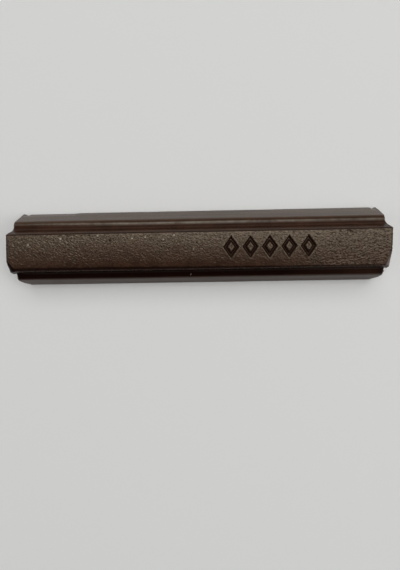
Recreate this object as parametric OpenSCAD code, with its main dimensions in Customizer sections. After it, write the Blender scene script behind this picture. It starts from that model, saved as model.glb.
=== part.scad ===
// Furniture repair wax stick: one bar of hard wax, cast with a raised land along its top,
// a ledge on each side of the land and two leaning flanks, then cut to length.
// The origin is the middle of the base. +X runs along the bar to its right end,
// +Y points to the far side, -Y to the near side, and +Z is up.

/* [Bar] */
// Length of the bar along its middle line
bar_length = 80; // [60:1:120]
// Height from the base to the land
bar_height = 10.2; // [8.5:0.1:14]
// Width across the base, to its sharp corners
base_width = 16.8; // [14:0.1:20]
// Radius of the base edges
foot_radius = 0.5; // [0.2:0.1:1]
// Angle of the left end cut from square, in degrees
left_cut_angle = 3; // [0:0.5:8]
// Angle of the right end cut from square, in degrees
right_cut_angle = 0; // [0:0.5:8]

/* [Raised land] */
// Width of the land, to its sharp edges
land_width = 7.8; // [6.5:0.1:9]
// Draft of the land's walls from upright, in degrees
land_draft = 11; // [2:1:16]
// Radius of the land's top edges
land_edge_radius = 0.3; // [0.1:0.05:0.6]
// Radius of the hollow between a wall and its ledge
root_radius = 1.2; // [0.4:0.1:1.2]

/* [Ledges] */
// Depth of the lips below the land
lip_depth = 4.3; // [3.2:0.1:6]
// Width across the lips, to their sharp edges
lip_width = 12.8; // [11.5:0.1:15]
// Fall of a ledge from its wall to its lip, in degrees
ledge_slope = 8; // [0:1:14]
// Radius of the lips
lip_radius = 1.3; // [0.3:0.1:1.4]

/* [Stamped marks] */
// Number of lozenges in the row
mark_count = 5; // [1:1:8]
// Spacing of the lozenges
mark_pitch = 4; // [3.6:0.1:5]
// Width of a lozenge along the bar
mark_width = 3.4; // [2.4:0.1:3.8]
// Height of a lozenge across the land
mark_height = 4.9; // [3:0.1:5.6]
// Width of the stamped line
mark_stroke = 0.85; // [0.4:0.05:1.1]
// Depth of the stamped line
mark_depth = 0.5; // [0.2:0.05:1]
// Distance from the right end to the row
row_end_gap = 15.1; // [6:0.1:25]
// Distance from the land's middle line to the row's middle line
row_shift = 0.5; // [-0.6:0.05:0.6]

/* [Chipped corners] */
// Length of a chip along the bar
chip_length = 1.2; // [0.3:0.1:2]
// Width of a chip across the land
chip_width = 2.6; // [0.8:0.1:3.2]
// Depth of a chip down the land's wall
chip_depth = 2.6; // [0.8:0.1:3.2]

/* [Burr and crumb] */
// Distance that the burr stands out from the right end cut
burr_reach = 0.5; // [0.2:0.05:1]
// Width of the burr where it grows from the cut
burr_width = 0.7; // [0.3:0.05:1]
// Thickness of the burr
burr_thickness = 0.35; // [0.2:0.05:0.6]
// Radius of the crumb on the near ledge
crumb_radius = 0.4; // [0.2:0.05:0.6]
// Place of the crumb along the bar
crumb_x = -1.5; // [-25:0.5:25]

/* [Hidden] */
$fn = 64;

wax_colour = [0.22, 0.16, 0.12];
burr_colour = [0.27, 0.20, 0.16];
crumb_colour = [0.33, 0.28, 0.24];

// Half section, from the base up
base_half = base_width / 2;
lip_half = lip_width / 2;
lip_z = bar_height - lip_depth;
land_half = land_width / 2;
draft_run = tan(land_draft);
slope_rise = tan(ledge_slope);

// The root is the sharp corner where the drafted wall meets the sloping ledge
root_depth = (lip_depth - (lip_half - land_half) * slope_rise) / (1 - draft_run * slope_rise);
root_half = land_half + root_depth * draft_run;

// The blank is cast longer than the bar, and a block larger than its section is cut off each end
spare = 1;
blank_length = bar_length + 2 * base_width * tan(max(left_cut_angle, right_cut_angle)) + 2 * spare;
offcut_size = 2 * (base_width + bar_height);

// The row of marks ends at row_end_gap from the right end
row_last_x = bar_length / 2 - row_end_gap - mark_width / 2;
mark_side_distance = mark_width * mark_height / norm([mark_width, mark_height]) / 2;
mark_island = 1 - mark_stroke / mark_side_distance;

chip_block = 4 * (chip_length + chip_width + chip_depth);

ledge_middle = (root_half + lip_half) / 2;

function unit(v) = v / norm(v);
function around(list, i) = list[(i + len(list)) % len(list)];

// A rounded corner: tangent points before and after it, arc centre, arc radius, and true if it is convex.
// The arc takes at most half of the shorter edge beside it.
function rounded_corner(points, radii, i) =
    let (
        back = around(points, i - 1) - points[i],
        ahead = around(points, i + 1) - points[i],
        half_angle = acos(unit(back) * unit(ahead)) / 2,
        reach = min(radii[i] / tan(half_angle), norm(back) / 2, norm(ahead) / 2),
        radius = reach * tan(half_angle),
        centre = points[i] + unit(unit(back) + unit(ahead)) * radius / sin(half_angle)
    )
    [
        points[i] + unit(back) * reach,
        points[i] + unit(ahead) * reach,
        centre,
        radius,
        cross(ahead, back) > 0
    ];

// An outline whose corners are true arcs: convex corners gain a disc, hollow corners lose one
module rounded_outline(points, radii) {
    corners = [for (i = [0 : len(points) - 1]) rounded_corner(points, radii, i)];
    difference() {
        union() {
            polygon([for (c = corners) each [c[0], c[1]]]);
            for (c = corners) if (c[4]) translate(c[2]) circle(c[3]);
        }
        for (c = corners) if (!c[4]) translate(c[2]) circle(c[3]);
    }
}

// Cross section of the bar, standing on the base line
module bar_section() {
    right_side = [
        [base_half, 0],
        [lip_half, lip_z],
        [root_half, bar_height - root_depth],
        [land_half, bar_height]
    ];
    right_radii = [foot_radius, lip_radius, root_radius, land_edge_radius];
    left_side = [for (i = [3 : -1 : 0]) [-right_side[i].x, right_side[i].y]];
    left_radii = [for (i = [3 : -1 : 0]) right_radii[i]];
    rounded_outline(concat(right_side, left_side), concat(right_radii, left_radii));
}

// Turns its children into the plane of an end cut: side is 1 for the right end, -1 for the left
module at_end_cut(side) {
    translate([side * bar_length / 2, 0, 0])
        rotate([0, 0, side > 0 ? -right_cut_angle : -left_cut_angle])
            children();
}

// The cast bar between its two end cuts
module bar_blank() {
    difference() {
        rotate([90, 0, 90])
            linear_extrude(height = blank_length, center = true)
                bar_section();
        for (side = [-1, 1])
            at_end_cut(side)
                translate([(side - 1) / 2 * offcut_size, -offcut_size / 2, -offcut_size / 2])
                    cube(offcut_size);
    }
}

// A lozenge on the land, as a share of the full mark
module lozenge(share) {
    polygon([for (a = [0 : 90 : 270]) share / 2 * [mark_width * cos(a), mark_height * sin(a)]]);
}

// Tool that stamps one lozenge line
module mark_stamp() {
    linear_extrude(height = 2 * mark_depth, center = true)
        difference() {
            lozenge(1);
            lozenge(mark_island);
        }
}

// What breaks off the near corner of the land at one end, down to the ledge at most
module land_chip(side) {
    normal = [side / chip_length, -1 / chip_width, 1 / chip_depth];
    at_end_cut(side)
        translate([0, -land_half, bar_height])
            difference() {
                rotate([0, 0, atan2(normal.y, normal.x)])
                    rotate([0, -atan2(normal.z, norm([normal.x, normal.y])), 0])
                        translate([-1 / norm(normal), -chip_block / 2, -chip_block / 2])
                            cube(chip_block);
                translate([-chip_block, -chip_block, -root_depth - 2 * chip_block])
                    cube(2 * chip_block);
            }
}

module wax_bar() {
    color(wax_colour)
        difference() {
            bar_blank();
            for (i = [0 : mark_count - 1])
                translate([row_last_x - i * mark_pitch, row_shift, bar_height])
                    mark_stamp();
            for (side = [-1, 1]) land_chip(side);
        }
}

// A sliver that the cutting blade left standing on the right end, just under the near ledge
module cut_burr() {
    color(burr_colour)
        at_end_cut(1)
            translate([0, -ledge_middle, lip_z - burr_thickness])
                linear_extrude(height = burr_thickness)
                    polygon([[0, -burr_width / 2], [burr_reach, 0], [0, burr_width / 2]]);
}

// A crumb of wax that sticks to the near ledge
module ledge_crumb() {
    color(crumb_colour)
        difference() {
            translate([crumb_x, -ledge_middle, lip_z + (lip_half - ledge_middle) * slope_rise])
                sphere(crumb_radius);
            bar_blank();
        }
}

wax_bar();
cut_burr();
ledge_crumb();
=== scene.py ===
"""Looks of the furniture repair wax stick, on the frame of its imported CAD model.

The bar is one dense mesh. Its section is rounded, extruded and subdivided, and then its skin is worked
like a sculpture: a crowned and pebbled land, stamped lozenges, streaked flanks, nicked lips, chipped
corners and rough end cuts. The burr and the crumb are small meshes of their own. Sizes are in millimetres,
as in the CAD model, and the finished meshes are scaled to metres.
The near side is -Y and the far side +Y. The left end is at -X and the right end at +X.
"""

import math

import bmesh
import bpy
from mathutils import Matrix, Vector, noise


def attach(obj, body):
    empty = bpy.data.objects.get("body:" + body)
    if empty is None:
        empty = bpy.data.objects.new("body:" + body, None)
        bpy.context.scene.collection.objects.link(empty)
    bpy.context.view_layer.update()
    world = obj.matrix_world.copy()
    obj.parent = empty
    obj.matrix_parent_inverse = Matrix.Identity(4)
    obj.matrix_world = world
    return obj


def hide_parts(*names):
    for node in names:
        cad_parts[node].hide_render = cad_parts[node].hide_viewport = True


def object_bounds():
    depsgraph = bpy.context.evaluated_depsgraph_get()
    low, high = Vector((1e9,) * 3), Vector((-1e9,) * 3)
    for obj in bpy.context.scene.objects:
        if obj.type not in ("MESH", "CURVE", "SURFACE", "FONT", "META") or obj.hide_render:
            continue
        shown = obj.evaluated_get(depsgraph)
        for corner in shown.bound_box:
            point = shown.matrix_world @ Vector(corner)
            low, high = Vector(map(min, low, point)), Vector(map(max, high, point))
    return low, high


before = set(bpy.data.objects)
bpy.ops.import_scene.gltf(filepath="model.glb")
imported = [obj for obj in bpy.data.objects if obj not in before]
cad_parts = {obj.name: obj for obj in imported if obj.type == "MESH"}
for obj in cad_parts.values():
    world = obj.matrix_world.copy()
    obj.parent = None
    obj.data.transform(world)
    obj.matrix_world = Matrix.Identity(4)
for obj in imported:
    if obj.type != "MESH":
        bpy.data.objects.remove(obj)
cad_low, cad_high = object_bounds()

MM = 0.001

# Distances within which a point touches a plane, lies at a level, or counts as part of the base or land
TOUCH = 0.001
LEVEL_TOUCH = 0.0002
FLAT_TOUCH = 0.01

# Section of the bar. The far edge of the land is set back a little.
HEIGHT = cad_high.z / MM
BASE_HALF = 8.4
FOOT_RADIUS = 0.5
LIP_HALF = 6.28
LIP_DEPTH = 4.3
LIP_RADIUS = 1.3
LEDGE_SLOPE = math.radians(8)
ROOT_RADIUS = 1.2
LAND_HALF = 3.9
LAND_DRAFT = math.radians(11)
LAND_EDGE_RADIUS = 0.3
LIP_Z = HEIGHT - LIP_DEPTH
ROOT_DEPTH = (LIP_DEPTH - (LIP_HALF - LAND_HALF) * math.tan(LEDGE_SLOPE)) / (
    1 - math.tan(LAND_DRAFT) * math.tan(LEDGE_SLOPE))
ROOT_HALF = LAND_HALF + ROOT_DEPTH * math.tan(LAND_DRAFT)
ROOT_Z = HEIGHT - ROOT_DEPTH
FAR_SET_BACK = 0.1

# Length of the bar and its end cuts: the slant of the left one, how far the right one stands out,
# how far their relief reaches along the bar, how pale they are, and the seed of their torn skin
HALF_LENGTH = 40
LEFT_SKEW = math.tan(math.radians(3))
RIGHT_PROUD = 0.37
CUT_FADE = 4
CUT_PALENESS = 0.4
CUT_SEED = 51.5

# Mesh spacing
FOOT_SEGMENTS = 3
LIP_SEGMENTS = 10
ROOT_SEGMENTS = 6
LAND_EDGE_SEGMENTS = 5
LAND_SPACING = 0.095
SIDE_SPACING = 0.45
BASE_SPACING = 4
COLUMNS = 260
LAND_COLUMN_CUTS = 2
SHARP_ANGLE = math.radians(40)

# Stamped lozenges on the land
MARK_COUNT = 5
MARK_PITCH = 4
MARK_WIDTH = 3.4
MARK_HEIGHT = 4.9
MARK_STROKE = 0.85
MARK_DEPTH = 0.5
MARK_RIM = 0.07
MARK_END_GAP = 15.1
MARK_LAST_X = HALF_LENGTH - MARK_END_GAP - MARK_WIDTH / 2
MARK_Y = 0.5

# Chips off the near corners of the land: length along the bar, width across it and depth, how hollow
# they are, how far their outer edges lean out, and the ends that they start from
LEFT_CHIP = Vector((2, 2.8, 1.4))
RIGHT_CHIP = Vector((1.25, 3.1, 1.25))
LEFT_CHIP_CURVE = 2
RIGHT_CHIP_CURVE = 1.3
CHIP_LEAN = 0.45
LEFT_CHIP_X = -HALF_LENGTH - LEFT_SKEW * LAND_HALF
RIGHT_CHIP_X = HALF_LENGTH + RIGHT_PROUD

# Skin of the land: how far it lies below the top of the bar, the heights of its pebbles and ripples,
# the turns of the ripples, and how its ends are rounded over
LAND_SINK = 0.13
RIPPLE_SINK = 0.05
CROWN_DEPTH = 0.17
ROLL_DEPTH = 0.16
WAVE_DEPTH = 0.025
PEBBLE_HEIGHT = 0.095
MIDDLE_CALM = 0.018
LEFT_RIPPLE = 0.055
RIGHT_RIPPLE = 0.14
LEFT_RIPPLE_TURN = math.radians(-40)
RIGHT_RIPPLE_TURN = math.radians(30)
# The land's rounded-over ends are also darkened with painted shade
END_EDGE_WIDTH = 0.5
END_EDGE_DEPTH = 0.1

# Small marks of use on the land: place along and across the bar, and a speck's radius too. The specks are
# raised nibs painted pale as a painted glint, and the pits are darkened with painted shade.
PITS = [(-18, 2.3), (-5.9, 0.35), (-7.5, -1.7), (0, 1.5), (40.15, -0.8)]
PIT_RADIUS = 0.16
PIT_DEPTH = 0.13
# The first pit is also darkened with painted shade
DEEP_PIT = PITS[0]
DEEP_PIT_RADIUS = 0.3
SPECKS = [
    (-35.2, 1.7, 0.16), (-28.3, 2.9, 0.19), (-20.5, 3.4, 0.16), (-13.3, 2.7, 0.14),
    (-10.6, 2.9, 0.12), (-6.8, 2.4, 0.13), (-4.6, 3.2, 0.14), (-0.6, 0.2, 0.1),
]
SPECK_HEIGHT = 0.04
SCRATCH_START = -2
SCRATCH_END = 1.2
SCRATCH_Y = 3.1
SCRATCH_DEPTH = 0.07
DENT_X = 31.8
DENT_Y = 3.3

# Marks beside the land: grooves along the ledges, a nick in the far lip, notches in the far foot with
# their widths, and a pit in the near flank
GROOVE_Y = 5.2
GROOVE_DEPTH = 0.11
LIP_NICK_X = -0.1
LIP_NICK_DEPTH = 0.16
FOOT_NOTCHES = [(-38.6, 0.45), (39.25, 0.3)]
FOOT_NOTCH_DEPTH = 0.3
FLANK_PIT_X = -11.5
FLANK_PIT_Z = 2.2
FLANK_PIT_RADIUS = 0.3
FLANK_PIT_DEPTH = 0.12

# Burr on the right end and crumb on the near ledge: middle, half sizes along, across and up, and turn
BURR_AT = Vector((40.3, -5.6, 5.8))
BURR_HALF = Vector((0.27, 0.17, 0.15))
BURR_TURN = 0
CRUMB_AT = Vector((-1.45, -5.58, 6.12))
CRUMB_HALF = Vector((0.13, 0.31, 0.17))
CRUMB_TURN = math.radians(-25)

# What the bar's material reads at each point, each 0 to 1: the pebbled land, a pale tone with painted
# sheen, the stamped line and marks darkened with painted shade, the painted shade, the cuts with painted
# light on the right chip, and the light specks and lip scuff with painted highlights
MASK_NAMES = ("land", "pale_and_painted_sheen", "mark", "shade", "cut", "speck_and_highlight")

# Colours, roughness and gloss of the materials
# Painted shade: darkens the near ledge, the far ledge a little, the land's edges, the deep pit and the left
# chip
SHADE_BROWN = (0.0088, 0.0032, 0.0022, 1)
PIT_BROWN = (0.012, 0.0055, 0.0035, 1)
DEEP_BROWN = (0.029, 0.0117, 0.0060, 1)
WARM_BROWN = (0.045, 0.0188, 0.0098, 1)
# Pale tone of the land, and painted sheen on the walls and on the stamped line's rim
PALE_AND_SHEEN_GREY = (0.11, 0.082, 0.056, 1)
# Pale streaks on the flanks, faint above the lips and about three times as strong on the far flank as on
# the near one
PALE_STREAK_TAN = (0.16, 0.105, 0.057, 1)
# Painted shade: darkens the stamped line, the pits, the dent and the land's end edges
MARK_SHADE_BROWN = (0.02, 0.009, 0.0055, 1)
# Painted glint on the land's specks, and the far lip's scuff, partly a painted highlight
SPECK_AND_HIGHLIGHT_PALE = (0.50, 0.45, 0.36, 1)
PALE_SHEEN = (1, 0.95, 0.88, 1)
WARM_SHEEN = (1, 0.86, 0.68, 1)
# Pale of the end cuts, and painted light on the right chip
CUT_AND_LIT_CHIP_PALE = (0.13, 0.104, 0.095, 1)
CRUMB_BROWN = (0.20, 0.165, 0.135, 1)
BURR_BROWN = (0.03, 0.019, 0.013, 1)
FLOOR_WHITE = (0.80, 0.80, 0.785, 1)
ROOM_WHITE = (1, 1, 1, 1)
WAX_IOR = 1.45
TORN_ROUGHNESS = 0.6
FLOOR_ROUGHNESS = 0.9
PLAIN_GLOSS = 0.3

# Camera: lens and picture height in pixels, sensor size in millimetres, place, and turns in degrees.
# The nearest clip, the floor's half size and the lights' distance are in metres.
LENS_PIXELS = 430
PICTURE_PIXELS = 570
SENSOR_SIZE = 36
CAMERA_AT = Vector((2.81, 6.42, HEIGHT + 89.12))
CAMERA_TURN_X = -8.81
CAMERA_TURN_Y = 1.26
CAMERA_TURN_Z = -0.92
CLIP_START = 0.01
FLOOR_HALF = 4
LIGHT_DISTANCE = 1.4


def smooth_step(low, high, value):
    """0 at low, 1 at high and an even ease between them. High may be the lower one."""
    t = min(max((value - low) / (high - low), 0), 1)
    return t * t * (3 - 2 * t)


def hump(distance, width):
    """1 at no distance, and fading to nothing over about two widths."""
    return math.exp(-(distance / width) ** 2)


def grain(x, y, size, seed):
    """Even noise, in the range of about -1 to 1, with lumps of the given size."""
    return noise.noise(Vector((x / size, y / size, seed)))


def turned(x, y, angle):
    """The point seen from axes that are turned by the angle."""
    return x * math.cos(angle) + y * math.sin(angle), y * math.cos(angle) - x * math.sin(angle)


# Mesh of the bar

def half_section():
    """Sharp corners of one half of the section, from the base up: across, height, radius, segments."""
    return [
        (BASE_HALF, 0, FOOT_RADIUS, FOOT_SEGMENTS),
        (LIP_HALF, LIP_Z, LIP_RADIUS, LIP_SEGMENTS),
        (ROOT_HALF, ROOT_Z, ROOT_RADIUS, ROOT_SEGMENTS),
        (LAND_HALF, HEIGHT, LAND_EDGE_RADIUS, LAND_EDGE_SEGMENTS),
    ]


def round_corner(bm, vert, radius, segments):
    """Rounds one corner of a flat face with an arc of the given radius."""
    arms = [(e.other_vert(vert).co - vert.co).normalized() for e in vert.link_edges]
    reach = radius / math.tan(arms[0].angle(arms[1]) / 2)
    bmesh.ops.bevel(bm, geom=[vert], offset=reach, offset_type="OFFSET", affect="VERTICES",
                    segments=segments, profile=0.5, material=-1, clamp_overlap=False)


def edge_spacing(edge):
    """How far apart the points of a straight stretch of the section lie."""
    height = (edge.verts[0].co.z + edge.verts[1].co.z) / 2
    if height > HEIGHT - FLAT_TOUCH:
        return LAND_SPACING
    return BASE_SPACING if height < FLAT_TOUCH else SIDE_SPACING


def add_section(bm):
    """The flat section at the left end, with rounded corners and closely spaced points."""
    right = half_section()
    left = [(-y, z, radius, segments) for y, z, radius, segments in reversed(right)]
    corners = [(bm.verts.new((-HALF_LENGTH, y, z)), r, n) for y, z, r, n in right + left]
    bmesh.ops.contextual_create(bm, geom=[vert for vert, _, _ in corners])
    for vert, radius, segments in corners:
        round_corner(bm, vert, radius, segments)
    for edge in list(bm.edges):
        cuts = int(edge.calc_length() / edge_spacing(edge))
        if cuts:
            bmesh.ops.subdivide_edges(bm, edges=[edge], cuts=cuts)


def edge_run(edge):
    """How far an edge runs along the bar."""
    return abs(edge.verts[0].co.x - edge.verts[1].co.x)


def extrude_bar(bm):
    """Draws the section out to the bar's length in even columns, which are closer along the land."""
    made = bmesh.ops.extrude_face_region(bm, geom=list(bm.faces))["geom"]
    moved = [g for g in made if isinstance(g, bmesh.types.BMVert)]
    bmesh.ops.translate(bm, verts=moved, vec=(2 * HALF_LENGTH, 0, 0))
    lengthwise = [e for e in bm.edges if edge_run(e) > HALF_LENGTH]
    bmesh.ops.subdivide_edges(bm, edges=lengthwise, cuts=COLUMNS - 1, use_grid_fill=True)
    on_land = [e for e in bm.edges if all(v.co.z > HEIGHT - TOUCH for v in e.verts)
               and edge_run(e) > LAND_SPACING]
    bmesh.ops.subdivide_edges(bm, edges=on_land, cuts=LAND_COLUMN_CUTS, use_grid_fill=True)


def end_row(bm, x, height):
    """The points of an end face at one height, from the near side to the far side."""
    row = [v for v in bm.verts if abs(v.co.x - x) < TOUCH and abs(v.co.z - height) < LEVEL_TOUCH]
    return sorted(row, key=lambda vert: vert.co.y)


def lace_end(bm, x):
    """Splits an end face into level strips and these into cells, so that the cut can be roughened."""
    face = next(f for f in bm.faces if all(abs(v.co.x - x) < TOUCH for v in f.verts))
    levels = {}
    for vert in face.verts:
        levels.setdefault(round(vert.co.z, 4), []).append(vert)
    heights = sorted(levels)
    cells = len(levels[heights[-1]]) - 1
    across = []
    for height in heights[1:-1]:
        across += bmesh.ops.connect_vert_pair(bm, verts=levels[height])["edges"]
    bmesh.ops.subdivide_edges(bm, edges=across, cuts=cells - 1, use_grid_fill=True)
    top, below = end_row(bm, x, heights[-1]), end_row(bm, x, heights[-2])
    for pair in zip(top[1:-1], below[1:-1]):
        bmesh.ops.connect_vert_pair(bm, verts=pair)


# End cuts

def on_end(u):
    """True for a column on either end face."""
    return abs(u) > HALF_LENGTH - TOUCH


def near_ledge(y, z):
    """0 to 1 on the near side of an end cut, from the ledge down."""
    return smooth_step(-4.5, -5, y) * smooth_step(ROOT_Z + 1, ROOT_Z + 0.4, z)


def left_relief(y, z):
    """How far the left cut lies inside its plane: the near side is broken back, most at the foot."""
    near_flank = smooth_step(-6.2, -7.4, y)
    near_foot = smooth_step(3.4, 0.6, z) * smooth_step(-5.5, -8, y)
    far_side = smooth_step(5.6, 6.4, y) + hump(y - LAND_HALF, 0.4) * hump(z - HEIGHT, 0.8)
    return 0.42 * near_ledge(y, z) + 0.12 * near_flank + 0.85 * near_foot - 0.02 * far_side


def right_relief(y, z):
    """How far the right cut stands out from its plane: proud at the land, and rounded off at the feet."""
    far_flank = smooth_step(4.4, 5.6, y)
    far_foot = smooth_step(2, 0.5, z) * smooth_step(7, 8.2, y)
    near_foot = smooth_step(3.6, 1, z) * smooth_step(-6, -7.8, y)
    near_wall = hump(y + 4.4, 0.5) * hump(z - 7.6, 1)
    near = 0.1 * near_ledge(y, z) + 0.95 * near_foot - 0.03 * near_wall
    return RIGHT_PROUD - 0.24 * far_flank - 0.1 * far_foot - near


def along_bar(u, y, z):
    """Where a point of column u lies along the bar, with the slant and the relief of the end cuts."""
    slant = LEFT_SKEW * y * (HALF_LENGTH - u) / (2 * HALF_LENGTH)
    left = smooth_step(CUT_FADE - HALF_LENGTH, -HALF_LENGTH, u)
    right = smooth_step(HALF_LENGTH - CUT_FADE, HALF_LENGTH, u)
    return u + slant + left * left_relief(y, z) + right * right_relief(y, z)


def cut_roughness(y, z, seed):
    """Torn and scraped skin of an end cut."""
    scrape = noise.noise(Vector((y / 3, z / 0.35, seed)))
    torn = noise.fractal(Vector((y / 1.6, z / 1.6, seed + 4)), 0.9, 2, 3)
    return 0.03 * scrape + 0.06 * torn


def corner_break(x, y):
    """Depth of the break at a near corner of the land, 0 to 1 inside it, and its end: -1 left, 1 right."""
    left = (LEFT_CHIP, LEFT_CHIP_CURVE, LEFT_CHIP_X, -1)
    right = (RIGHT_CHIP, RIGHT_CHIP_CURVE, RIGHT_CHIP_X, 1)
    chip, curve, end_x, side = left if x < 0 else right
    inside = 1 + side * (x - end_x) / chip.x - (y + LAND_HALF) / chip.y
    if inside <= 0:
        return 0, 0, side
    depth = chip.z * inside ** curve + 0.1 * min(inside, 1) * abs(grain(x, y, 0.35, 61.5))
    return min(depth, ROOT_DEPTH - 0.3), min(inside, 1), side


def fresh_skin(inside):
    """0 to 1 from the rim of a break to its fresh skin."""
    return smooth_step(0.02, 0.12, inside)


# Skin of the bar

def lozenge_line(x, y):
    """How deep the stamped line is at a point of the land, and 0 to 1 inside the line and on its rim."""
    side = MARK_WIDTH * MARK_HEIGHT / math.hypot(MARK_WIDTH, MARK_HEIGHT) / 2
    half_stroke = MARK_STROKE / 2
    dy = abs(y - MARK_Y) / (MARK_HEIGHT / 2)
    nearest = math.inf
    for i in range(MARK_COUNT):
        dx = abs(x - MARK_LAST_X + i * MARK_PITCH) / (MARK_WIDTH / 2)
        nearest = min(nearest, abs((1 - dx - dy) * side - half_stroke) / half_stroke)
    rim = hump(nearest - 1.35, 0.25)
    depth = MARK_DEPTH * smooth_step(1.1, 0, nearest) - MARK_RIM * rim
    return depth, smooth_step(1.1, 0.8, nearest), rim


def ripple_rise(x):
    """How far the ripples of the right land have set in, from the stamped row to the end."""
    return smooth_step(21, 30, x)


def pebbles(x, y):
    """Pebbled skin of the land, with ripples that lean one way at the left and the other at the right."""
    skin = 0.75 * grain(x / 1.6, y, 0.155, 1.5) + 0.25 * grain(x, y, 0.6, 4.5)
    left_x, left_y = turned(x, y, LEFT_RIPPLE_TURN)
    right_x, right_y = turned(x, y, RIGHT_RIPPLE_TURN)
    left = smooth_step(-18, -30, x) * noise.noise(Vector((left_x / 0.5, left_y / 0.23, 7.5)))
    right = ripple_rise(x) * noise.noise(Vector((right_x / 0.55, right_y / 0.17, 9.5)))
    middle = smooth_step(-26, -16, x) * smooth_step(26, 16, x)
    return (PEBBLE_HEIGHT - MIDDLE_CALM * middle) * skin + LEFT_RIPPLE * left + RIGHT_RIPPLE * right


def use_marks(x, y):
    """Depth of the marks of use in the land, and 0 to 1 in a pit or the dent and on a light speck, a raised
    nib painted pale as a painted glint.
    """
    begun = smooth_step(SCRATCH_START, SCRATCH_START + 0.5, x)
    along = begun * smooth_step(SCRATCH_END, SCRATCH_END - 0.5, x)
    scratch = SCRATCH_DEPTH * along * hump(y - SCRATCH_Y - 0.05 * grain(x, 0, 0.6, 3.5), 0.1)
    dent = hump(x - DENT_X - 1.2 * (DENT_Y - y), 0.45) * smooth_step(2.7, 3.3, y)
    pit = max(hump(math.hypot(x - at_x, y - at_y), PIT_RADIUS) for at_x, at_y in PITS)
    pit = max(pit, dent)
    speck_and_highlight = max(hump(math.hypot(x - at_x, y - at_y), radius) for at_x, at_y, radius in SPECKS)
    return scratch + PIT_DEPTH * pit, pit, speck_and_highlight


def land_pale_tone(x, y):
    """Paler grey on the land: strongest along the far edge, fading towards the near edge, and reaching
    nearer at the right end.
    """
    reach = 1.8 + 1.2 * smooth_step(10, 36, x)
    patches = 0.35 * grain(x, y, 4, 16.5) + 0.2 * grain(x, y, 1.2, 18.5)
    return smooth_step(-reach - 2.5, 5.2, y + patches) ** 1.6


def land_drop(x, y):
    """How far the land's skin lies below the top of the bar, before its pebbles and marks."""
    across = y / LAND_HALF
    crown = CROWN_DEPTH * across ** 2
    rolled = ROLL_DEPTH * smooth_step(-1.2, -LAND_HALF, y) ** 2 * smooth_step(26, -4, x)
    wave = WAVE_DEPTH * (1 + grain(x, y, 7, 12.5))
    return LAND_SINK + RIPPLE_SINK * ripple_rise(x) + crown + rolled + wave


def land_shade(x, y):
    """Painted shade on the land: a dark line along its near edge, which is wider at the left, and the one
    deep pit.
    """
    width = 0.3 + 0.45 * smooth_step(34, -34, x) + 0.08 * grain(x, 0, 1.5, 71.5)
    line = smooth_step(width - LAND_HALF + 0.15, width - LAND_HALF - 0.25, y)
    pit = hump(math.hypot(x - DEEP_PIT[0], y - DEEP_PIT[1]), DEEP_PIT_RADIUS)
    return max((0.92 - 0.3 * smooth_step(20, 38, x)) * line, pit)


def side_relief(x, y, z):
    """How far a wall, ledge, lip or flank stands out from its even shape: drawn streaks and slow waves."""
    reach = abs(y) + z
    seed = 21.5 if y > 0 else 27.5
    streaks = noise.noise(Vector((x / 14, reach / 0.6, seed)))
    waves = noise.noise(Vector((x / 7, reach / 4, seed + 3)))
    return 0.006 * streaks + 0.02 * waves - 0.022


def lip_wear_and_highlight(x, y, z):
    """Wear along a lip: 0 to 1 where the far one is scuffed and lightened, partly real scuffing and partly
    a painted highlight, and the depth of the nicks.
    """
    inward = 0.62 - 0.2 * smooth_step(-10, -36, x)
    on_lip = hump(abs(y) - LIP_HALF + inward, 0.21) * hump(z - LIP_Z, 0.5)
    seed = 33.5 if y > 0 else 38.5
    nick = 0.05 * smooth_step(0.35, 0.6, noise.noise(Vector((x / 0.7, z / 1.5, seed + 9))))
    if y <= 0:
        return 0, on_lip * nick
    nick += LIP_NICK_DEPTH * hump(x - LIP_NICK_X, 0.22)
    mottle = 0.7 + 0.5 * noise.noise(Vector((x / 2.6, z / 0.9, seed))) + 0.3 * grain(x, y, 0.5, seed)
    middle = smooth_step(-38, -22, x) * smooth_step(36, 14, x)
    amount = 0.14 + 0.24 * middle + 0.1 * smooth_step(26, 34, x)
    return on_lip * amount * max(mottle, 0), on_lip * nick


def side_shade(x, y, z):
    """How much painted shade darkens the brown beside the land: most on the near ledge, a little on the far
    one, and dark lines of painted shade along the top of both walls.
    """
    ledge = smooth_step(LIP_HALF + 0.1, LIP_HALF - 0.3, abs(y)) * smooth_step(LIP_Z - 0.6, LIP_Z, z)
    low = smooth_step(ROOT_Z + 1.8, ROOT_Z + 0.7, z)
    if y < 0:
        amount = 0.94 - 0.5 * smooth_step(16, 36, x)
        edge = 0.85 * hump(y + LAND_HALF, 0.25) * smooth_step(HEIGHT - 1.1, HEIGHT - 0.6, z)
    else:
        amount = 0.12
        edge = 0.75 * hump(y - LAND_HALF, 0.2) * smooth_step(HEIGHT - 0.6, HEIGHT - 0.35, z)
    return max(ledge * low * amount, edge)


def wall_painted_sheen(x, y, z):
    """Painted sheen along the upper part of the land's walls: a painted highlight on the far wall and a
    painted reflection on the near wall.
    """
    if y > 0:
        return 0.33 * hump(z - HEIGHT + 1.15, 0.5)
    return (0.4 + 0.15 * smooth_step(18, 34, x)) * hump(z - HEIGHT + 1.4, 0.9)


def ledge_groove(y, z):
    """Depth of the shallow groove along the foot of the land's walls."""
    if z <= LIP_Z - 0.5:
        return 0
    return GROOVE_DEPTH * hump(abs(y) - GROOVE_Y, 0.35) * smooth_step(LIP_Z + 1.2, LIP_Z + 0.5, z)


def foot_notch(x, y, z):
    """Depth of the notches that the cuts left in the far foot, and of the long dent beside the left one."""
    if y < 6.5 or z > 2.5:
        return 0
    low = smooth_step(2.4, 0.8, z)
    long_dent = 0.1 * smooth_step(-26.5, -28, x) * smooth_step(-39.5, -37, x)
    return low * (long_dent + sum(FOOT_NOTCH_DEPTH * hump(x - at_x, width) for at_x, width in FOOT_NOTCHES))


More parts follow.
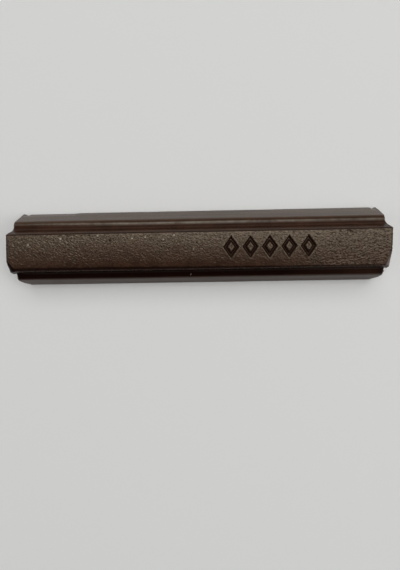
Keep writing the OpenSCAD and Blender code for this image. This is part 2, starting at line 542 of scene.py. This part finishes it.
def flank_pit(x, y, z):
    """Depth of the small pit in the near flank."""
    if y >= 0:
        return 0
    return FLANK_PIT_DEPTH * hump(math.hypot(x - FLANK_PIT_X, z - FLANK_PIT_Z), FLANK_PIT_RADIUS)


def work_land(vert, masks, place, x, flat):
    """Works a point on top of the land: pebbles, stamped line, marks of use, painted shade, a pale tone and
    a painted highlight on the stamped line's rim.
    """
    u, y, _ = vert.co
    depth, inside, rim = lozenge_line(x, y)
    used, pit, speck_and_highlight = use_marks(x, y)
    edge = smooth_step(END_EDGE_WIDTH, 0, HALF_LENGTH - abs(u))
    fresh = fresh_skin(corner_break(x, y)[1])
    pebbled = (1 - 0.8 * inside) * (1 - fresh) * pebbles(x, y)
    place.z += flat * (pebbled - used + SPECK_HEIGHT * speck_and_highlight - END_EDGE_DEPTH * edge) - depth
    # Painted shade along the land's near edge and in the deep pit
    vert[masks["shade"]] = land_shade(x, y)
    # The stamped line, the pits, the dent and the land's end edges get painted shade
    vert[masks["mark"]] = max(inside, flat * pit - vert[masks["shade"]], edge)
    # The specks get a painted glint
    vert[masks["speck_and_highlight"]] = flat * speck_and_highlight
    # Pale tone of the land, and a painted highlight on the stamped line's rim
    vert[masks["pale_and_painted_sheen"]] = flat * min(land_pale_tone(x, y) + 0.7 * rim, 1)


def work_side(vert, masks, place, x):
    """Works a point of a wall, ledge, lip or flank: streaks, wear with a painted highlight on the far lip,
    notches, painted shade and painted sheen.
    """
    u, y, z = vert.co
    normal = vert.normal.copy()
    if on_end(u):
        normal.x = 0
    # The far lip's scuff is partly a painted highlight
    vert[masks["speck_and_highlight"]], nick = lip_wear_and_highlight(x, y, z)
    vert[masks["shade"]] = side_shade(x, y, z)
    # Painted sheen on the upper walls
    vert[masks["pale_and_painted_sheen"]] = wall_painted_sheen(x, y, z)
    place += normal * (side_relief(x, y, z) - nick - flank_pit(x, y, z))
    place.y -= foot_notch(x, y, z)
    place.z -= ledge_groove(y, z)


def work_break(vert, masks, place, x):
    """Sinks a point of a chipped corner: the left chip is darkened with painted shade and the right one
    paled with painted light.
    """
    _, y, z = vert.co
    depth, inside, side = corner_break(x, y)
    if depth <= 0 or z <= ROOT_Z:
        return
    share = (z - ROOT_Z) / ROOT_DEPTH
    fresh = fresh_skin(inside)
    place.z -= depth * share
    place.y -= CHIP_LEAN * inside * smooth_step(-2.9, -3.9, y) * smooth_step(0.1, 0.4, share)
    # Painted shade on the left chip, and painted light through the cut mask on the right one
    if side < 0:
        vert[masks["shade"]] = max(vert[masks["shade"]], fresh)
        vert[masks["cut"]] = 0
    else:
        vert[masks["cut"]] = fresh * smooth_step(0.5, 0.8, share)
        vert[masks["shade"]] *= 1 - vert[masks["cut"]]
    vert[masks["mark"]] = 0


def work_point(vert, masks):
    """Moves one point of the even bar to its place on the worn skin, and fills in its masks."""
    u, y, z = vert.co
    x = along_bar(u, y, z)
    place = Vector((x, y, z))
    in_cut = on_end(u) and all(abs(face.normal.x) > 0.99 for face in vert.link_faces)
    on_top = smooth_step(HEIGHT - 1, HEIGHT, z) if in_cut else z > HEIGHT - 0.2
    flat = on_top * smooth_step(LAND_HALF - 0.08, LAND_HALF - 0.25, abs(y))
    top = smooth_step(HEIGHT - 2.5, HEIGHT, z)
    place.z -= top * land_drop(x, max(min(y, LAND_HALF), -LAND_HALF))
    if flat > 0:
        work_land(vert, masks, place, x, flat)
    elif z > FLAT_TOUCH:
        work_side(vert, masks, place, x)
    if on_end(u):
        place.x += cut_roughness(y, z, CUT_SEED + u)
        vert[masks["cut"]] = CUT_PALENESS
    work_break(vert, masks, place, x)
    place.y -= FAR_SET_BACK * top * smooth_step(0, LAND_HALF, y) * smooth_step(40, 34, x)
    vert[masks["land"]] = flat
    if in_cut:
        for mask in masks.values():
            vert[mask] = 0
        vert[masks["cut"]] = CUT_PALENESS
    vert.co = place


def mark_sharp_edges(bm):
    """Smooth shading everywhere except over the sharp corners of the cuts and breaks."""
    bm.normal_update()
    for face in bm.faces:
        face.smooth = True
    for edge in bm.edges:
        if edge.calc_face_angle(0) > SHARP_ANGLE:
            edge.smooth = False


def make_bar():
    """The bar: its mesh, worked point by point, with the masks that its material reads."""
    bm = bmesh.new()
    add_section(bm)
    extrude_bar(bm)
    for end in (-HALF_LENGTH, HALF_LENGTH):
        lace_end(bm, end)
    bmesh.ops.recalc_face_normals(bm, faces=bm.faces)
    bm.normal_update()
    masks = {name: bm.verts.layers.float.new(name) for name in MASK_NAMES}
    for vert in bm.verts:
        work_point(vert, masks)
    mark_sharp_edges(bm)
    finish_piece(bm, "wax_bar_skin", wax_material(), "wax_bar")


def make_bit(name, middle, half, turn, material, node):
    """A small torn bit of wax: a ball, drawn out to its size, turned and roughened."""
    bm = bmesh.new()
    bmesh.ops.create_icosphere(bm, subdivisions=3, radius=1)
    spin = Matrix.Rotation(turn, 3, "Z")
    for vert in bm.verts:
        ball = vert.co.copy()
        lumps = 0.8 + 0.2 * noise.noise(ball * 1.7 + middle)
        bend = Vector((0.25 * ball.y ** 2 - 0.12, 0, 0))
        shaped = (ball + bend) * lumps
        vert.co = middle + spin @ Vector(a * b for a, b in zip(shaped, half))
    for face in bm.faces:
        face.smooth = True
    finish_piece(bm, name, material, node)


def finish_piece(bm, name, material, node):
    """Turns a worked mesh into a piece, in metres, that stands for a CAD node."""
    bmesh.ops.scale(bm, vec=(MM, MM, MM), verts=bm.verts)
    mesh = bpy.data.meshes.new(name)
    bm.to_mesh(mesh)
    bm.free()
    mesh.materials.append(material)
    piece = bpy.data.objects.new(name, mesh)
    bpy.context.collection.objects.link(piece)
    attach(piece, "root")
    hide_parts(node)


# Materials

def add_node(tree, kind, **settings):
    """A new shader node with its settings."""
    node = tree.nodes.new(kind)
    for name, value in settings.items():
        setattr(node, name, value)
    return node


def set_input(tree, node, socket, value):
    """Sets an input to a number or a colour, or links it to another node's output."""
    if isinstance(value, bpy.types.NodeSocket):
        tree.links.new(value, node.inputs[socket])
    else:
        node.inputs[socket].default_value = value


def millimetres(tree, stretch=(1, 1, 1)):
    """The place on the piece in millimetres, stretched for a pattern that runs one way."""
    coords = add_node(tree, "ShaderNodeTexCoord")
    mapping = add_node(tree, "ShaderNodeMapping")
    mapping.inputs["Scale"].default_value = [s / MM for s in stretch]
    tree.links.new(coords.outputs["Object"], mapping.inputs["Vector"])
    return mapping.outputs["Vector"]


def noise_value(tree, vector, scale, detail):
    """Noise of about 0.5 at the given number of lumps per millimetre."""
    node = add_node(tree, "ShaderNodeTexNoise")
    tree.links.new(vector, node.inputs["Vector"])
    node.inputs["Scale"].default_value = scale
    node.inputs["Detail"].default_value = detail
    return node.outputs["Fac"]


def attribute(tree, name):
    """One of the bar's own masks."""
    return add_node(tree, "ShaderNodeAttribute", attribute_name=name).outputs["Fac"]


def spread(tree, value, low, high, to_low, to_high):
    """Stretches a range of values to another range."""
    node = add_node(tree, "ShaderNodeMapRange")
    set_input(tree, node, "Value", value)
    for socket, number in (("From Min", low), ("From Max", high), ("To Min", to_low), ("To Max", to_high)):
        node.inputs[socket].default_value = number
    return node.outputs["Result"]


def times(tree, first, second):
    """Two values multiplied."""
    node = add_node(tree, "ShaderNodeMath", operation="MULTIPLY")
    set_input(tree, node, 0, first)
    set_input(tree, node, 1, second)
    return node.outputs["Value"]


def mix_colour(tree, amount, under, over):
    """One colour laid over another by an amount."""
    node = add_node(tree, "ShaderNodeMix", data_type="RGBA")
    set_input(tree, node, "Factor", amount)
    set_input(tree, node, 6, under)
    set_input(tree, node, 7, over)
    return node.outputs[2]


def mix_number(tree, amount, under, over):
    """One number laid over another by an amount."""
    node = add_node(tree, "ShaderNodeMix", data_type="FLOAT")
    set_input(tree, node, "Factor", amount)
    set_input(tree, node, 2, under)
    set_input(tree, node, 3, over)
    return node.outputs[0]


def lay_over(tree, mix, value, layers):
    """Lays colours or numbers over a first one, in turn, each by its amount."""
    for amount, over in layers:
        value = mix(tree, amount, value, over)
    return value


def wax_patterns(tree):
    """The places, masks and noises that the wax's colour, roughness and gloss share."""
    even = millimetres(tree)
    axes = add_node(tree, "ShaderNodeSeparateXYZ")
    tree.links.new(even, axes.inputs["Vector"])
    scrapes = noise_value(tree, millimetres(tree, (1, 0.2, 1)), 1.8, 3)
    return {
        "across": axes.outputs["Y"],
        "height": axes.outputs["Z"],
        "above_lip": spread(tree, axes.outputs["Z"], LIP_Z - 0.5, LIP_Z, 0, 1),
        "land": attribute(tree, "land"),
        "mark": attribute(tree, "mark"),
        "shade": attribute(tree, "shade"),
        # The cut mask also carries painted light on the right chip
        "cut": times(tree, attribute(tree, "cut"), spread(tree, scrapes, 0.35, 0.65, 0.7, 1.2)),
        "clouds": noise_value(tree, even, 0.3, 3),
        "streaks": noise_value(tree, millimetres(tree, (0.03, 1, 1)), 1.1, 3),
        "grains": noise_value(tree, millimetres(tree, (0.65, 1.15, 1)), 3.9, 1),
    }


def wax_colour(tree, wax):
    """Clouded brown under pale streaks, a pale tone with painted sheen, pits, painted shade, marks darkened
    with painted shade, specks and lip scuff with painted highlights, and cuts with painted light on the
    right chip.
    """
    clouds = spread(tree, wax["clouds"], 0.35, 0.65, 0, 1)
    streaked = spread(tree, wax["streaks"], 0.3, 0.7, 0.05, 0.26)
    pale_streaks = times(tree, streaked, spread(tree, wax["above_lip"], 0, 1, 1, 0.05))
    pale_streaks = times(tree, pale_streaks, spread(tree, wax["across"], -LIP_HALF, LIP_HALF, 0.3, 1))
    grained = mix_number(tree, wax["land"], 0.75, spread(tree, wax["grains"], 0.38, 0.62, 0.2, 1.3))
    pale_and_painted_sheen = times(tree, attribute(tree, "pale_and_painted_sheen"), grained)
    pits = times(tree, wax["land"], spread(tree, wax["grains"], 0.35, 0.5, 0.8, 0))
    return lay_over(tree, mix_colour, DEEP_BROWN, [
        (clouds, WARM_BROWN),
        # Pale streaks, faint above the lips and stronger on the far flank
        (pale_streaks, PALE_STREAK_TAN),
        # Pale tone of the land, and painted sheen on the walls and the stamped line's rim
        (pale_and_painted_sheen, PALE_AND_SHEEN_GREY),
        (pits, PIT_BROWN),
        # Painted shade on the ledges, the land's edges, the deep pit and the left chip
        (wax["shade"], SHADE_BROWN),
        # Painted shade in the stamped line, the pits, the dent and along the land's end edges
        (wax["mark"], MARK_SHADE_BROWN),
        # Painted glints on the specks, and the far lip's scuff with its painted highlight
        (attribute(tree, "speck_and_highlight"), SPECK_AND_HIGHLIGHT_PALE),
        # Pale end cuts, and painted light on the right chip
        (wax["cut"], CUT_AND_LIT_CHIP_PALE),
    ])


def wax_roughness(tree, wax):
    """Satin on the near flank, smoother on the far one and the top, and rough on the cuts."""
    flank = spread(tree, wax["across"], -LIP_HALF, LIP_HALF, 0.45, 0.26)
    return lay_over(tree, mix_number, flank, [
        (wax["above_lip"], 0.25),
        (wax["land"], 0.33),
        (wax["mark"], 0.18),
        (wax["cut"], 0.6),
    ])


def wax_gloss(tree, wax):
    """Strength of the sheen: streaked on the flanks, faint beside the land and clear on the land."""
    flank = spread(tree, wax["across"], -LIP_HALF, LIP_HALF, 0.28, 0.395)
    flank = times(tree, flank, spread(tree, wax["streaks"], 0.35, 0.65, 0.75, 1.25))
    on_wall = spread(tree, wax["height"], ROOT_Z + 0.5, ROOT_Z + 1.3, 0, 1)
    return lay_over(tree, mix_number, flank, [
        (wax["above_lip"], 0.12),
        (on_wall, 0.035),
        (wax["land"], 0.5),
        (wax["shade"], 0.025),
        (wax["mark"], 0.35),
    ])


def wax_material():
    """Dark brown hard wax: satin where it was cast, paler on the land, rough where it was cut, with painted
    shade and painted highlights.
    """
    material = bpy.data.materials.new("dark_brown_wax")
    material.use_nodes = True
    tree = material.node_tree
    shader = tree.nodes["Principled BSDF"]
    shader.inputs["IOR"].default_value = WAX_IOR
    wax = wax_patterns(tree)
    set_input(tree, shader, "Base Color", wax_colour(tree, wax))
    set_input(tree, shader, "Roughness", wax_roughness(tree, wax))
    set_input(tree, shader, "Specular IOR Level", wax_gloss(tree, wax))
    set_input(tree, shader, "Specular Tint", mix_colour(tree, wax["land"], PALE_SHEEN, WARM_SHEEN))
    return material


def plain_material(name, colour, roughness):
    """One even colour."""
    material = bpy.data.materials.new(name)
    material.use_nodes = True
    shader = material.node_tree.nodes["Principled BSDF"]
    shader.inputs["Base Color"].default_value = colour
    shader.inputs["Roughness"].default_value = roughness
    shader.inputs["Specular IOR Level"].default_value = PLAIN_GLOSS
    return material


# Camera, floor and light

def turn_about(axis, degrees):
    """A turn about one axis."""
    return Matrix.Rotation(math.radians(degrees), 3, axis)


def add_camera():
    """A phone's main lens, nearly straight above the bar."""
    data = bpy.data.cameras.new("camera")
    data.lens = SENSOR_SIZE * LENS_PIXELS / PICTURE_PIXELS
    data.clip_start = CLIP_START
    camera = bpy.data.objects.new("camera", data)
    tilt = turn_about("X", CAMERA_TURN_X) @ turn_about("Y", CAMERA_TURN_Y)
    turn = turn_about("Z", CAMERA_TURN_Z) @ tilt
    camera.matrix_world = Matrix.Translation(CAMERA_AT * MM) @ turn.to_4x4()
    bpy.context.collection.objects.link(camera)
    bpy.context.scene.camera = camera


def add_floor():
    """A wide floor under the bar."""
    bm = bmesh.new()
    bmesh.ops.create_grid(bm, x_segments=1, y_segments=1, size=FLOOR_HALF)
    mesh = bpy.data.meshes.new("floor")
    bm.to_mesh(mesh)
    bm.free()
    mesh.materials.append(plain_material("pale_floor", FLOOR_WHITE, FLOOR_ROUGHNESS))
    floor = bpy.data.objects.new("floor", mesh)
    bpy.context.collection.objects.link(floor)


def add_light(name, azimuth, elevation, size, radiance):
    """A soft rectangular light that faces the bar, of the given radiance."""
    data = bpy.data.lights.new(name, "AREA")
    data.shape = "RECTANGLE"
    data.size, data.size_y = size
    data.energy = radiance * math.pi * size[0] * size[1]
    light = bpy.data.objects.new(name, data)
    turn = turn_about("Z", -azimuth) @ turn_about("X", elevation)
    direction = turn @ Vector((0, 1, 0))
    light.location = direction * LIGHT_DISTANCE
    light.rotation_mode = "QUATERNION"
    light.rotation_quaternion = (-direction).to_track_quat("-Z", "Y")
    light.visible_camera = False
    bpy.context.collection.objects.link(light)


def add_world():
    """A dim room, brighter near the horizon than overhead, and brighter on the far side."""
    world = bpy.data.worlds.new("room")
    world.use_nodes = True
    tree = world.node_tree
    axes = add_node(tree, "ShaderNodeSeparateXYZ")
    tree.links.new(add_node(tree, "ShaderNodeTexCoord").outputs["Generated"], axes.inputs["Vector"])
    height = spread(tree, axes.outputs["Z"], 0, 0.25, 1, 0.15)
    depth = spread(tree, axes.outputs["Y"], -1, 1, 0.45, 0.55)
    background = tree.nodes["Background"]
    background.inputs["Color"].default_value = ROOM_WHITE
    tree.links.new(times(tree, height, depth), background.inputs["Strength"])
    bpy.context.scene.world = world


add_camera()
add_floor()
add_world()
add_light("far_light", azimuth=12, elevation=62, size=(1.2, 1.04), radiance=3.3)
add_light("right_light", azimuth=95, elevation=40, size=(1.1, 1.1), radiance=1.6)
add_light("left_light", azimuth=-95, elevation=38, size=(1.1, 1.1), radiance=0.5)
bpy.context.scene.view_settings.view_transform = "Standard"

make_bar()
burr_material = plain_material("torn_wax", BURR_BROWN, TORN_ROUGHNESS)
crumb_material = plain_material("pale_crumb", CRUMB_BROWN, TORN_ROUGHNESS)
make_bit("cut_burr_skin", BURR_AT, BURR_HALF, BURR_TURN, burr_material, "cut_burr")
make_bit("ledge_crumb_skin", CRUMB_AT, CRUMB_HALF, CRUMB_TURN, crumb_material, "ledge_crumb")
